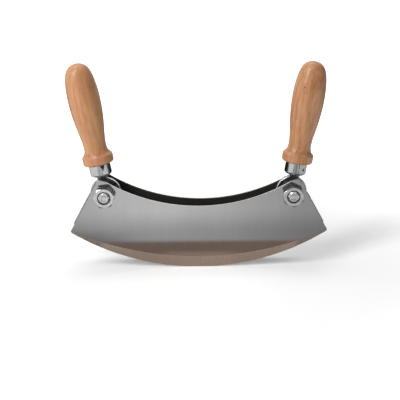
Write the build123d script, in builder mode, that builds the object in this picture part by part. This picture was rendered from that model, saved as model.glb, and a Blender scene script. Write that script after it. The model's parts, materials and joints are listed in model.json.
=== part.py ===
from build123d import *

import math
import os

# A rocking herb chopper with two crescent blades and two upright handles.
# The frame: origin on the ground under the middle of the cutting edges, between the two blades,
# +X along the blades to the right, +Y from the front blade to the rear blade, +Z up. Millimetres.

# Blades
chord = 232.2
edge_rise = 34.2
tip_round = 2.0
blade_thickness = 1.5
bolt_inset = 32.3
bolt_height = 68.3
hollow_drop = 10.2
rear_hollow_shift = 2.1
ear_foot_in = 3.4
ear_foot_up = 11.6
ear_corner_out = 5.6
ear_corner_up = 14.4
ear_corner_round = 1.2
grind_width = 10.5
grind_tip_width = 1.5
edge_bevel_width = 2.4
edge_land = 0.3

# Bolts, nuts and the sleeves that hold the blades apart
bolt_radius = 5.0
bolt_hole_clearance = 0.1
thread_clearance = 0.05
nut_wall = 3.5
nut_height = 8.0
nut_corner_chamfer = 1.4
nut_mouth_chamfer = 0.9
head_height = 6.4
bolt_end_proud = 1.0
bolt_end_chamfer = 0.9
sleeve_wall = 3.0
left_nut_turn_degrees = 8.0
right_nut_turn_degrees = 36.0

# Handle plates, with the eye that turns on the bolt
plate_thickness = 4.0
eye_radius = 13.8
eye_edge_chamfer = 0.4
running_clearance = 0.05
neck_width = 9.0
neck_length = 2.5
spike_length = 62.0
spike_point_length = 8.0
spike_point_width = 3.0

# Ferrules
ferrule_radius = 9.7
ferrule_wall = 0.8
ferrule_length = 11.2
ferrule_round = 2.2
ferrule_side_clearance = 1.3
slot_clearance = 0.2

# Wooden grips
fit_clearance = 0.05
collar_radius = 13.8
collar_length = 7.5
collar_round = 1.8
shoulder_round = 1.0
shoulder_rise = 2.4
crease_step = 1.3
waist_radius = 10.1
waist_rise = 6.4
belly_radius = 14.2
belly_rise = 42.5
crown_length = 31.9
crown_slope_degrees = 62.5

# Lean of each handle at rest, in degrees from upright, outwards
left_lean_degrees = 10.7
right_lean_degrees = 8.6

# What one cut runs past the solid that it cuts
overrun = 1.0

# Shapes of the grip's curves, as shares of the stretch that each one spans
flare_share = 0.45
flare_pull_share = 0.35
swell_pull_shares = (0.21, 0.50)
crown_rise_share = 0.36
crown_shoulder_shares = (0.72, 0.815)
crown_pull_shares = (0.157, 0.097)
crown_cap_share = 0.40

# Places worked out from the sizes
blade_gap = 2 * (ferrule_radius + ferrule_side_clearance)
inner_face = blade_gap / 2
outer_face = inner_face + blade_thickness
half_chord = chord / 2
half_spacing = half_chord - bolt_inset
edge_radius = (half_chord**2 + edge_rise**2) / (2 * edge_rise)
hollow_height = bolt_height - hollow_drop
hollow_half_width = half_spacing - ear_foot_in
hollow_rise = hollow_drop + ear_foot_up
hollow_radius = (hollow_half_width**2 + hollow_rise**2) / (2 * hollow_rise)
grind_rise = edge_rise + grind_tip_width - grind_width
grind_radius = (half_chord**2 + grind_rise**2) / (2 * grind_rise)
nut_flats = 2 * (bolt_radius + nut_wall)
sleeve_radius = bolt_radius + sleeve_wall
ferrule_start = eye_radius + neck_length
collar_start = ferrule_start + ferrule_length
collar_end = collar_start + collar_length
crease_radius = waist_radius + crease_step
crease_height = collar_end + shoulder_rise
waist_height = crease_height + waist_rise
belly_height = waist_height + belly_rise
grip_end = belly_height + crown_length
tenon_radius = ferrule_radius - ferrule_wall - fit_clearance
tenon_start = ferrule_start + ferrule_wall + fit_clearance
tenon_round = ferrule_round - ferrule_wall
spike_end = ferrule_start + spike_length

ENDS = (
    ("left", -half_spacing, -left_lean_degrees, left_nut_turn_degrees),
    ("right", half_spacing, right_lean_degrees, right_nut_turn_degrees),
)


def ear_top(hand, hollow_middle):
    """The rounded top of one ear: its outer corner, a point midway, and its foot on the hollow edge."""
    corner = Vector(hand * (half_spacing + ear_corner_out), bolt_height + ear_corner_up)
    hollow_centre = Vector(hollow_middle, hollow_height + hollow_radius)
    beside = hand * hollow_half_width - hollow_middle
    foot = hollow_centre + Vector(beside, -math.sqrt(hollow_radius**2 - beside**2))
    outward = (foot - hollow_centre).normalized()
    reach = corner - foot
    top_radius = reach.length**2 / (2 * reach.dot(outward))
    centre = foot + outward * top_radius
    middle = centre + ((corner - centre) + (foot - centre)).normalized() * abs(top_radius)
    return corner, middle, foot


def bevel_cutter(centre_height, radius, width, flat_side, sharp_side, far_side):
    """A ring whose sloping inner face grinds the outer face of a blade down to its edge."""
    with BuildPart() as cutter:
        with BuildSketch(Plane.YZ):
            with BuildLine():
                Polyline(
                    (flat_side, centre_height - radius),
                    (sharp_side, centre_height - radius - width),
                    (far_side, centre_height - radius - width),
                    (far_side, centre_height - radius),
                    close=True,
                )
            make_face()
        revolve(axis=Axis((0, 0, centre_height), (0, 1, 0)))
    return cutter.part


def blade(side):
    """One crescent blade, side -1 in front and +1 at the rear."""
    hollow_middle = rear_hollow_shift if side > 0 else 0
    ears = [ear_top(hand, hollow_middle) for hand in (-1, 1)]
    tips = [(-half_chord, edge_rise), (half_chord, edge_rise)]
    primary = bevel_cutter(
        grind_width + grind_radius,
        grind_radius,
        grind_width,
        side * outer_face,
        side * (inner_face + edge_land),
        side * (outer_face + overrun),
    )
    secondary = bevel_cutter(
        edge_radius,
        edge_radius - edge_bevel_width,
        edge_bevel_width,
        side * outer_face,
        side * (inner_face + edge_land),
        side * (outer_face + overrun),
    )
    face = Plane((0, side * inner_face, 0), x_dir=(1, 0, 0), z_dir=(0, -1, 0))
    with BuildPart() as crescent:
        with BuildSketch(face) as outline:
            with BuildLine():
                ThreePointArc(tips[0], (0, 0), tips[1])
                for tip, (corner, middle, foot) in zip(tips, ears):
                    Line(tip, corner)
                    ThreePointArc(corner, middle, foot)
                ThreePointArc(ears[0][2], (hollow_middle, hollow_height), ears[1][2])
            make_face()
            for tip, (corner, _, _) in zip(tips, ears):
                fillet(outline.vertices().sort_by_distance(tip)[0], tip_round)
                fillet(outline.vertices().sort_by_distance(corner)[0], ear_corner_round)
            with Locations((-half_spacing, bolt_height), (half_spacing, bolt_height)):
                Circle(bolt_radius + bolt_hole_clearance, mode=Mode.SUBTRACT)
        extrude(amount=-side * blade_thickness)
        add(primary, mode=Mode.SUBTRACT)
        add(secondary, mode=Mode.SUBTRACT)
    return crescent.part


def cross_plane(bolt_x, depth):
    """A plane square to a bolt at a given depth, seen from the front."""
    return Plane((bolt_x, depth, bolt_height), x_dir=(1, 0, 0), z_dir=(0, -1, 0))


def hexagon_blank(plane, height, turn, chamfer_both):
    """A hexagonal prism whose corners are turned off to a shallow cone."""
    corner_radius = nut_flats / 2 / math.cos(math.pi / 6)
    face_radius = corner_radius - nut_corner_chamfer
    slope = nut_corner_chamfer * math.tan(math.pi / 6)
    foot = [(face_radius, 0), (corner_radius, slope)] if chamfer_both else [(corner_radius, 0)]
    with BuildPart() as turned:
        with BuildSketch(Plane(plane.origin, x_dir=plane.x_dir, z_dir=-plane.y_dir)):
            with BuildLine():
                Polyline(
                    (0, 0),
                    *foot,
                    (corner_radius, height - slope),
                    (face_radius, height),
                    (0, height),
                    close=True,
                )
            make_face()
        revolve(axis=Axis(plane.origin, plane.z_dir))
    with BuildPart() as blank:
        with BuildSketch(plane):
            RegularPolygon(nut_flats / 2, 6, major_radius=False, rotation=turn)
        extrude(amount=height)
        add(turned.part, mode=Mode.INTERSECT)
    return blank.part


def bolt(bolt_x):
    """Hexagon head behind the rear blade, and a shank that ends just past the nut."""
    shank_end = outer_face + nut_height + bolt_end_proud
    head_plane = Plane((bolt_x, outer_face, bolt_height), x_dir=(1, 0, 0), z_dir=(0, 1, 0))
    head = hexagon_blank(head_plane, head_height, 0, False)
    with BuildPart() as screw:
        with BuildSketch(cross_plane(bolt_x, outer_face)):
            Circle(bolt_radius)
        extrude(amount=outer_face + shank_end)
        chamfer(screw.edges().sort_by(Axis.Y)[0], bolt_end_chamfer)
        add(head)
    return screw.part


def nut(bolt_x, turn):
    """Hexagon nut on the front blade, with a chamfered hole."""
    plane = cross_plane(bolt_x, -outer_face)
    blank = hexagon_blank(plane, nut_height, turn, True)
    hole_radius = bolt_radius + thread_clearance
    with BuildPart() as body:
        add(blank)
        with BuildSketch(plane):
            Circle(hole_radius)
        extrude(amount=nut_height, mode=Mode.SUBTRACT)
        rims = body.edges().filter_by(GeomType.CIRCLE).group_by(SortBy.RADIUS)[0]
        chamfer(rims, nut_mouth_chamfer)
    return body.part


def sleeve(bolt_x, side):
    """Spacer on the bolt between a handle plate and a blade."""
    near = plate_thickness / 2 + running_clearance
    with BuildPart() as tube:
        with BuildSketch(Plane((bolt_x, side * near, bolt_height), x_dir=(1, 0, 0), z_dir=(0, side, 0))):
            Circle(sleeve_radius)
            Circle(bolt_radius + bolt_hole_clearance, mode=Mode.SUBTRACT)
        extrude(amount=inner_face - near)
    return tube.part


def handle_plane(bolt_x, lean):
    """A plane through the handle's middle: local Y runs from the bolt up the handle."""
    angle = math.radians(lean)
    return Plane(
        (bolt_x, 0, bolt_height),
        x_dir=(math.cos(angle), 0, -math.sin(angle)),
        z_dir=(0, -1, 0),
    )


def spike_face(clearance):
    """The flat outline of neck and spike, grown all round by a clearance."""
    half_neck = neck_width / 2 + clearance
    half_point = spike_point_width / 2 + clearance
    with BuildSketch(Plane.XY) as outline:
        with BuildLine():
            Polyline(
                (-half_neck, 0),
                (half_neck, 0),
                (half_neck, collar_end),
                (half_point, spike_end - spike_point_length),
                (0, spike_end + clearance),
                (-half_point, spike_end - spike_point_length),
                (-half_neck, collar_end),
                close=True,
            )
        make_face()
    return outline.sketch


def tang(plane):
    """Handle plate: round eye, neck and spike, cut from one plate."""
    spike = spike_face(0)
    with BuildPart() as plate:
        with BuildSketch(plane):
            Circle(eye_radius)
            add(spike)
            Circle(bolt_radius + running_clearance, mode=Mode.SUBTRACT)
        extrude(amount=plate_thickness / 2, both=True)
        rims = plate.edges().filter_by(GeomType.CIRCLE).group_by(SortBy.RADIUS)[-1]
        chamfer(rims, eye_edge_chamfer)
    return plate.part


def ferrule(plane):
    """Drawn steel cup with a rounded foot and a slot for the neck."""
    half_slot = neck_width / 2 + slot_clearance
    slot_depth = plate_thickness + 2 * slot_clearance
    with BuildPart() as cup:
        with BuildSketch(plane):
            with BuildLine():
                Polyline(
                    (0, ferrule_start),
                    (ferrule_radius, ferrule_start),
                    (ferrule_radius, collar_start),
                    (0, collar_start),
                    close=True,
                )
            make_face()
        revolve(axis=Axis(plane.origin, plane.y_dir))
        foot = cup.edges().filter_by(GeomType.CIRCLE).sort_by(Axis(plane.origin, plane.y_dir))[0]
        fillet(foot, ferrule_round)
        with BuildSketch(plane):
            with BuildLine():
                FilletPolyline(
                    (0, ferrule_start + ferrule_wall),
                    (ferrule_radius - ferrule_wall, ferrule_start + ferrule_wall),
                    (ferrule_radius - ferrule_wall, collar_start + overrun),
                    radius=tenon_round,
                )
                Polyline(
                    (ferrule_radius - ferrule_wall, collar_start + overrun),
                    (0, collar_start + overrun),
                    (0, ferrule_start + ferrule_wall),
                )
            make_face()
        revolve(axis=Axis(plane.origin, plane.y_dir), mode=Mode.SUBTRACT)
        with BuildSketch(plane):
            with Locations((0, ferrule_start)):
                Rectangle(2 * half_slot, 2 * ferrule_wall + overrun)
        extrude(amount=slot_depth / 2, both=True, mode=Mode.SUBTRACT)
    return cup.part


def along(start, end, share):
    """The value that lies a share of the way from start to end."""
    return start + (end - start) * share


def grip(plane):
    """Turned wooden grip: tenon, collar, waist, belly and rounded crown, with a pocket for the spike."""
    flare_pull = waist_rise * flare_pull_share
    shoulder = Vector(
        belly_radius * crown_shoulder_shares[0],
        along(belly_height, grip_end, crown_shoulder_shares[1]),
    )
    crown_slope = Vector(-crown_length, 0).rotate(Axis.Z, -crown_slope_degrees)
    pocket = spike_face(fit_clearance)
    with BuildPart() as wood:
        with BuildSketch(plane):
            with BuildLine():
                FilletPolyline(
                    (0, tenon_start),
                    (tenon_radius, tenon_start),
                    (tenon_radius, collar_start),
                    radius=tenon_round,
                )
                FilletPolyline(
                    (tenon_radius, collar_start),
                    (collar_radius, collar_start),
                    (collar_radius, collar_end),
                    (crease_radius, crease_height),
                    radius=[collar_round, shoulder_round],
                )
                Bezier(
                    (crease_radius, crease_height),
                    (crease_radius - flare_pull * flare_share, crease_height + flare_pull),
                    (waist_radius, waist_height - flare_pull),
                    (waist_radius, waist_height),
                )
                Bezier(
                    (waist_radius, waist_height),
                    (waist_radius, along(waist_height, belly_height, swell_pull_shares[0])),
                    (belly_radius, along(belly_height, waist_height, swell_pull_shares[1])),
                    (belly_radius, belly_height),
                )
                Bezier(
                    (belly_radius, belly_height),
                    (belly_radius, along(belly_height, grip_end, crown_rise_share)),
                    shoulder - crown_slope * crown_pull_shares[0],
                    shoulder,
                )
                Bezier(
                    shoulder,
                    shoulder + crown_slope * crown_pull_shares[1],
                    (belly_radius * crown_cap_share, grip_end),
                    (0, grip_end),
                )
                Line((0, grip_end), (0, tenon_start))
            make_face()
        revolve(axis=Axis(plane.origin, plane.y_dir))
        with BuildSketch(plane):
            add(pocket)
        extrude(amount=plate_thickness / 2 + fit_clearance, both=True, mode=Mode.SUBTRACT)
    return wood.part


def write(part, name):
    """Label a finished piece and write it to its own file."""
    part.label = name
    export_step(part, f"parts/{name}.step")
    print(name, "volume", round(part.volume, 1))


os.makedirs("parts", exist_ok=True)

write(blade(-1), "front_blade")
write(blade(1), "rear_blade")
for hand, bolt_x, lean, nut_turn in ENDS:
    middle = handle_plane(bolt_x, lean)
    write(bolt(bolt_x), f"{hand}_bolt")
    write(nut(bolt_x, nut_turn), f"{hand}_nut")
    write(sleeve(bolt_x, -1), f"{hand}_front_spacer")
    write(sleeve(bolt_x, 1), f"{hand}_rear_spacer")
    write(tang(middle), f"{hand}_tang")
    write(ferrule(middle), f"{hand}_ferrule")
    write(grip(middle), f"{hand}_grip")
print("edge radius", round(edge_radius, 2), "grip end", round(grip_end, 2))
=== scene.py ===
import json
import math
from itertools import product

import bmesh
import bpy
from bpy.props import FloatProperty, FloatVectorProperty, IntProperty, PointerProperty
from mathutils import Matrix, Vector
from mathutils.geometry import interpolate_bezier


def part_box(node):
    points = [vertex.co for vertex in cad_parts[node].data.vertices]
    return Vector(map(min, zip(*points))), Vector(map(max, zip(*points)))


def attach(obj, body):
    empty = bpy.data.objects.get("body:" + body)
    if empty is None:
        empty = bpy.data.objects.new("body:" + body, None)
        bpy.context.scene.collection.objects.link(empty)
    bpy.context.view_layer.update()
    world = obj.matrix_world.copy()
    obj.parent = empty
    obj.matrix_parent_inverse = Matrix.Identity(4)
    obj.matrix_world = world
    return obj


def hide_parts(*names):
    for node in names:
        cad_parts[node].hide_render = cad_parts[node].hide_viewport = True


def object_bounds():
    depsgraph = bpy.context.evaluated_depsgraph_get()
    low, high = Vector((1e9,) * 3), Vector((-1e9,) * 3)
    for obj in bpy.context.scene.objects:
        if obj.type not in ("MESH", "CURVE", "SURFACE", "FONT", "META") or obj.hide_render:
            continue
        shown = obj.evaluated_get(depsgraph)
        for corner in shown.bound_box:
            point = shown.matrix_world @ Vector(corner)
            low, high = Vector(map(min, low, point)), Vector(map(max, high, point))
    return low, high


bl_info = {
    "name": "Double-bladed mezzaluna",
    "version": (1, 0, 0),
    "blender": (4, 5, 0),
    "location": "3D View > Sidebar > Mezzaluna",
    "description": "Builds a rocking herb chopper with two crescent blades and two turned handles",
    "category": "Object",
}

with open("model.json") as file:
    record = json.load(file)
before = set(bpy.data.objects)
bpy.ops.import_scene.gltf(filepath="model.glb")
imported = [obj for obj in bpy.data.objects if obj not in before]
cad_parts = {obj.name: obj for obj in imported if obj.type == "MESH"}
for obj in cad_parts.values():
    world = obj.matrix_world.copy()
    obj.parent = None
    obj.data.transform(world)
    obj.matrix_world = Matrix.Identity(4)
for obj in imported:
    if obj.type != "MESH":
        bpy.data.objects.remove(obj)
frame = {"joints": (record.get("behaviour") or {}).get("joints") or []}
CAD_BOX = [list(corner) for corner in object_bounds()]

HANDS = ("left", "right")
PIVOTS = {joint["child"].split("_")[0]: Vector(joint["pos_m"]) for joint in frame["joints"]}
BLADE_LOW, BLADE_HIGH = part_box("front_blade")
REAR_LOW, REAR_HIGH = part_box("rear_blade")
BOLT_LOW, BOLT_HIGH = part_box("left_bolt")
NUT_LOW, NUT_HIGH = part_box("left_nut")
SLEEVE_LOW, SLEEVE_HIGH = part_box("left_front_spacer")
TANG_LOW, TANG_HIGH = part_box("left_tang")
FERRULE_LOW, FERRULE_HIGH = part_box("left_ferrule")
PIVOT_HEIGHT = PIVOTS["left"].z
FULL_TURN = 2 * math.pi
MERGE = 1e-7
TO_FRONT = Matrix.Rotation(math.pi / 2, 4, "X")


def setting(kind, name, text, value, **more):
    """A value that the sidebar shows."""
    return kind(name=name, description=text, default=value, **more)


def length(name, text, value):
    """A size in metres."""
    return setting(FloatProperty, name, text, value, min=0.0, precision=5, unit="LENGTH", subtype="DISTANCE")


def angle(name, text, degrees):
    """An angle, written in degrees."""
    return setting(FloatProperty, name, text, math.radians(degrees), unit="ROTATION", subtype="ANGLE")


def share(name, text, value):
    """A share between nothing and all."""
    return setting(FloatProperty, name, text, value, min=0.0, max=1.0, subtype="FACTOR")


def gain(name, text, value, least=0.0):
    """A plain number that may be over one."""
    return setting(FloatProperty, name, text, value, min=least)


def count(name, text, value, least):
    """A whole number of steps."""
    return setting(IntProperty, name, text, value, min=least)


def colour(name, text, value):
    """A linear colour without transparency."""
    return setting(FloatVectorProperty, name, text, value, min=0.0, max=1.0, subtype="COLOR")


def spot(name, text, value):
    """A place in metres."""
    return setting(FloatVectorProperty, name, text, value, precision=5, unit="LENGTH", subtype="TRANSLATION")


def power(name, text, value):
    """The power of a lamp in watts."""
    return setting(FloatProperty, name, text, value, min=0.0, unit="POWER")


class MezzalunaBlades(bpy.types.PropertyGroup):
    """Sizes and finish of the two blades."""

    length: length("Length", "From tip to tip, before the tips are rounded", 0.2322)
    thickness: length("Thickness", "Thickness of the steel", BLADE_HIGH.y - BLADE_LOW.y)
    gap: length("Gap", "Clear space between the two blades", REAR_LOW.y - BLADE_HIGH.y)
    edge_rise: length("Edge rise", "Height of the tips over the middle of the edge", 0.0342)
    tip_round: length("Tip rounding", "Rounding of the tips", 0.002)
    hollow_drop: length("Hollow drop", "How far the hollow back dips under the bolts", 0.0102)
    rear_shift: length("Rear shift", "How far the rear blade's hollow lies to the right", 0.0021)
    foot_in: length("Ear foot in", "Where the ear leaves the hollow, inwards from the bolt", 0.0034)
    foot_up: length("Ear foot up", "Where the ear leaves the hollow, upwards from the bolt", 0.0116)
    ear_out: length("Ear corner out", "Outer corner of the ear, outwards from the bolt", 0.0056)
    ear_up: length("Ear corner up", "Outer corner of the ear, upwards from the bolt", 0.0144)
    ear_round: length("Ear corner rounding", "Rounding of the ear's outer corner", 0.0012)
    grind_width: length("Grind width", "Height of the ground face at the middle", 0.0105)
    grind_tip_width: length("Grind at the tip", "Height of the ground face at the tips", 0.0015)
    bevel_width: length("Edge bevel", "Width of the second bevel along the edge", 0.0024)
    edge_land: length("Edge", "Steel left at the cutting edge", 0.0003)
    rim_round: length("Rim rounding", "Rounding along back, ears and ends", 0.0003)
    hole_clearance: length("Hole clearance", "Room between bolt and hole", 0.0001)
    steps: count("Edge steps", "Steps along half of the edge", 96, 12)
    steel: colour("Steel", "Colour of the satin steel", (0.50, 0.50, 0.50))
    # The ground face's warm, bright colour is partly a painted reflection, and its darker ends are painted
    # shade
    ground: colour("Ground steel", "Colour of the ground face", (0.80, 0.76, 0.71))
    ground_ends_shade: share("Ground ends", "Brightness of the ground face's ends against its middle", 0.7)
    # Painted highlight: a band of brighter steel just over the grind, strongest in the middle of the blade
    highlight_low: length("Soft start, low", "Height at which the soft start of the grind is brightest", 0.0123)
    highlight_high: length("Soft start, high", "Height at which the soft start of the grind ends", 0.0173)
    highlight_reach: length("Soft start, reach", "How far the soft start goes to both sides of the middle", 0.045)
    highlight_gain: share("Soft start, gain", "How much the soft start brightens the steel", 0.55)
    cut: colour("Cut steel", "Colour of the polished rim", (0.72, 0.72, 0.72))
    # Painted shade: the front rim is drawn darker towards its right end, and the rear rim is drawn dark with
    # lighter ends
    rim_right_shade: share("Rim at the right", "Brightness of the rim's right end against its left end", 0.45)
    rear_rim_shade: colour("Rear rim", "Colour of the rear blade's rim", (0.12, 0.12, 0.115))
    # Painted shade: the faces between the blades are drawn nearly black, lighter towards the ends where the
    # gap opens
    gap_shade_ends: gain("Inner ends", "Brightness of the ends between the blades against the middle", 6.0)
    inner: colour("Inner steel", "Colour of the faces between the blades", (0.045, 0.042, 0.038))
    roughness: share("Roughness", "Roughness of the satin finish", 0.08)
    ground_roughness: share("Ground roughness", "Roughness of the ground face", 0.4)
    # Painted shade: how metallic the dark faces between the blades are
    gap_shade_metal: share("Inner metal", "How metallic the stained faces between the blades are", 0.35)


class MezzalunaFasteners(bpy.types.PropertyGroup):
    """Sizes and finish of bolts, nuts and sleeves."""

    bolt_radius: length("Bolt radius", "Radius of the shank", 0.005)
    flats: length("Across flats", "Width of nut and head across flats", 0.017)
    nut_height: length("Nut height", "Thickness of the nut", NUT_HIGH.y - NUT_LOW.y)
    head_height: length("Head height", "Thickness of the bolt's head", BOLT_HIGH.y - REAR_HIGH.y)
    face_radius: length("Face radius", "Radius of the round face of nut and head", 0.008415)
    mouth_chamfer: length("Mouth chamfer", "Countersink of the nut's hole", 0.001)
    thread_clearance: length("Thread clearance", "Room between bolt and nut", 0.00005)
    end_chamfer: length("End chamfer", "Chamfer of the bolt's end", 0.0011)
    thread_pitch: length("Thread pitch", "Distance between two threads", 0.0015)
    thread_depth: length("Thread depth", "Depth of a thread", 0.0005)
    dimple_radius: length("Dimple radius", "Radius of the dimple in the bolt's end", 0.0026)
    dimple_depth: length("Dimple depth", "Depth of the dimple in the bolt's end", 0.0002)
    corner_round: length("Corner rounding", "Rounding of the hexagon's corners", 0.00018)
    sleeve_radius: length("Sleeve radius", "Outer radius of the sleeves", (SLEEVE_HIGH.z - SLEEVE_LOW.z) / 2)
    sleeve_chamfer: length("Sleeve chamfer", "Chamfer at the sleeves' ends", 0.0003)
    left_turn: angle("Left nut", "How far the left nut is turned", 8.0)
    right_turn: angle("Right nut", "How far the right nut is turned", 36.0)
    steps: count("Steps", "Steps round a nut or bolt, a multiple of six", 96, 24)
    plating: colour("Plating", "Colour of the bright plating", (0.66, 0.66, 0.665))
    # Painted shade: flanks, chamfers and threads are drawn darker than the faces of the same plating
    flank: colour("Flanks", "Colour of flanks, chamfers and threads", (0.42, 0.42, 0.42))
    roughness: share("Roughness", "Roughness of the plating", 0.22)


class MezzalunaTangs(bpy.types.PropertyGroup):
    """Sizes and finish of the handle plates."""

    thickness: length("Thickness", "Thickness of the plate", TANG_HIGH.y - TANG_LOW.y)
    eye_radius: length("Eye radius", "Radius of the round eye", PIVOT_HEIGHT - TANG_LOW.z)
    eye_clearance: length("Eye clearance", "Room between bolt and eye", 0.00005)
    neck_width: length("Neck width", "Width of the neck", 0.009)
    spike_start: length("Spike start", "Where the spike starts to narrow, from the bolt", 0.035)
    spike_end: length("Spike end", "Point of the spike, from the bolt", 0.0783)
    point_length: length("Point length", "Length of the spike's point", 0.008)
    point_width: length("Point width", "Width where the point starts", 0.003)
    edge_round: length("Edge rounding", "Rounding of the eye's rim", 0.0004)
    # Painted light and shade: the flat sides are drawn dark and lighter on the outer side, the rim bright
    # with its rear half darker
    steel: colour("Steel", "Colour of the plate's flat sides", (0.24, 0.24, 0.235))
    outer_side_light: gain("Outer tone", "Brightness of the outer side against the inner one", 2.2)
    rim: colour("Rim", "Colour of the plate's bright rim", (0.7, 0.7, 0.7))
    rim_back_shade: share("Rear of the rim", "Brightness of the rim's rear half against its front half", 0.15)
    roughness: share("Roughness", "Roughness of the plate", 0.32)


class MezzalunaFerrules(bpy.types.PropertyGroup):
    """Sizes and finish of the ferrules."""

    radius: length("Radius", "Outer radius of the ferrule", (FERRULE_HIGH.y - FERRULE_LOW.y) / 2)
    wall: length("Wall", "Thickness of the drawn steel", 0.0008)
    start: length("Start", "Foot of the ferrule, from the bolt", 0.0163)
    end: length("End", "Top of the ferrule, from the bolt", 0.0275)
    foot_round: length("Foot rounding", "Rounding of the foot", 0.0022)
    slot_length: length("Slot length", "Length of the slot for the neck", 0.0094)
    slot_width: length("Slot width", "Width of the slot for the neck", 0.0044)
    ring_radius: length("Ring radius", "Where the foot's flat turns into the slot", 0.0062)
    notch_angle: angle("Notch angle", "Place of the staked notch, right of the front", 19.0)
    notch_width: length("Notch width", "Width of the staked notch at the collar", 0.0049)
    notch_height: length("Notch height", "Height of the staked notch", 0.0062)
    notch_depth: length("Notch depth", "Depth of the staked notch", 0.0012)
    dot_angle: angle("Dot angle", "Place of the punched dot, right of the front", 38.7)
    dot_height: length("Dot height", "Height of the punched dot, from the bolt", 0.0222)
    dot_radius: length("Dot radius", "Radius of the punched dot", 0.0009)
    dot_depth: length("Dot depth", "Depth of the punched dot", 0.0007)
    groove_angle: angle("Groove angle", "Place of the soft dent, right of the front", 7.5)
    groove_width: length("Groove width", "Width of the soft dent", 0.0022)
    groove_depth: length("Groove depth", "Depth of the soft dent", 0.00022)
    steps: count("Steps", "Steps round the ferrule", 256, 48)
    rows: count("Rows", "Rows up the ferrule's side", 28, 4)
    steel: colour("Steel", "Colour of the plated steel", (0.36, 0.368, 0.375))
    # Painted shade: the notch and the dot are drawn nearly black
    pit: colour("Pit", "Colour of the notch and the dot", (0.05, 0.05, 0.05))
    # Painted shade: the right ferrule is drawn darker than the left, and each is drawn dark on its side
    # towards the other handle
    right_tone: share("Right tone", "Brightness of the right ferrule against the left one", 0.72)
    inner_shade_start: length("Stain start", "Where the dark stain starts, inwards from the middle", 0.0072)
    inner_shade_end: length("Stain end", "Where the dark stain is darkest", 0.0078)
    inner_shade_tone: share("Stain tone", "Brightness of the stain against the plating", 0.12)
    roughness: share("Roughness", "Roughness of the plated steel", 0.17)


class MezzalunaGrips(bpy.types.PropertyGroup):
    """Sizes and finish of the turned wooden grips. Heights are measured from the bolt."""

    left_lean: angle("Left lean", "Outward lean of the left handle", 10.7)
    right_lean: angle("Right lean", "Outward lean of the right handle", 8.6)
    tenon_radius: length("Tenon radius", "Radius inside the ferrule, clear of its dents", 0.0074)
    tenon_start: length("Tenon start", "Lower end inside the ferrule", 0.01715)
    collar_start: length("Collar start", "Underside of the collar", 0.0275)
    collar_end: length("Collar end", "Top of the collar's side", 0.035)
    collar_radius: length("Collar radius", "Radius of the collar", 0.0138)
    collar_round: length("Collar rounding", "Rounding under the collar", 0.0018)
    shoulder_round: length("Shoulder rounding", "Rounding over the collar", 0.001)
    crease_radius: length("Crease radius", "Radius of the crease over the collar", 0.0114)
    crease_height: length("Crease height", "Height of the crease over the collar", 0.0374)
    waist_radius: length("Waist radius", "Radius of the narrow neck of the grip", 0.0101)
    waist_rise: length("Waist rise", "From the crease up to the waist", 0.0064)
    belly_radius: length("Belly radius", "Radius of the grip at its widest", 0.01419)
    belly_rise: length("Belly rise", "From the waist up to the widest part", 0.0425)
    crown_length: length("Crown length", "From the widest part up to the top", 0.03189)
    crown_slope: angle("Crown slope", "Slope of the outline where the crown turns in", 62.5)
    steps: count("Steps", "Steps round the grip", 128, 32)
    curve_steps: count("Curve steps", "Points along each stretch of the outline", 18, 3)
    pale: colour("Golden wood", "Colour of the golden patches", (0.58, 0.285, 0.112))
    warm: colour("Rosy wood", "Colour of the rosy patches", (0.56, 0.248, 0.108))
    right_tone: share("Right tone", "Brightness of the right grip against the left one", 0.91)
    dark: colour("Dark lines", "Colour of fibres, flecks and late wood", (0.27, 0.095, 0.035))
    knot: spot("Pin knot", "Place of the pin knot, from the right bolt", (-0.0066, -0.0122, 0.0961))
    knot_size: length("Pin knot's size", "Radius of the pin knot", 0.001)
    # Painted shade and dirt in the crease and at the foot of the collar
    crease_dirt_and_shade: share("Aged creases", "How dark the wood is in the crease and under the collar", 0.35)
    gloss: share("Varnish", "Weight of the varnish", 0.4)


class MezzalunaStage(bpy.types.PropertyGroup):
    """Floor, lamps and camera."""

    floor_size: length("Floor size", "Side of the square floor", 14.0)
    floor: colour("Floor", "Colour of the floor", (0.93, 0.93, 0.93))
    floor_lift: share("Floor lift", "Brightness added to the floor near the chopper", 0.15)
    sky: share("Sky", "Brightness of the sky on dull surfaces", 0.27)
    key: power("Key lamp", "Large soft lamp at the upper left", 23.5)
    fill: power("Fill lamp", "Soft lamp overhead", 10.0)
    camera_place: spot("Camera", "Place of the camera", (-0.004, -0.77837, 0.30278))
    camera_down: angle("Down", "How far the camera looks down", 17.323)
    camera_heading: angle("Heading", "How far the camera turns to the left", -0.379)
    camera_roll: angle("Roll", "How far the camera is tilted", -0.354)
    lens: gain("Lens", "Focal length of the camera in millimetres", 81.0, 1.0)
    sensor: gain("Sensor", "Width of the camera's sensor in millimetres", 36.0, 1.0)


# Shapes of the grip's curves, as shares of the stretch that each one spans
FLARE_SHARE = 0.45
FLARE_PULL = 0.35
SWELL_PULLS = (0.21, 0.50)
CROWN_RISE = 0.36
CROWN_SHOULDER = (0.72, 0.815)
CROWN_PULLS = (0.157, 0.097)
CROWN_CAP = 0.40

# Steel: noise scales across and along the grinding lines, of clouds, and of lumps and grain in the plating
FINE_LINES, BROAD_LINES = (2600, 2600, 70), (420, 420, 26)
STEEL_CLOUDS, PLATING_LUMPS, PLATING_GRAIN = 28.0, 330.0, 2400.0

# Steel: how much clouds, lumps and grain change the tone, and the lines and lumps the roughness
CLOUD_TONES, LUMP_TONES, GRAIN_TONES = (0.97, 1.03), (-0.07, 0.07), (0.96, 1.02)
FINE_ROUGH, BROAD_ROUGH, LUMP_ROUGH = 0.02, 0.012, (-0.05, 0.08)

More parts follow.
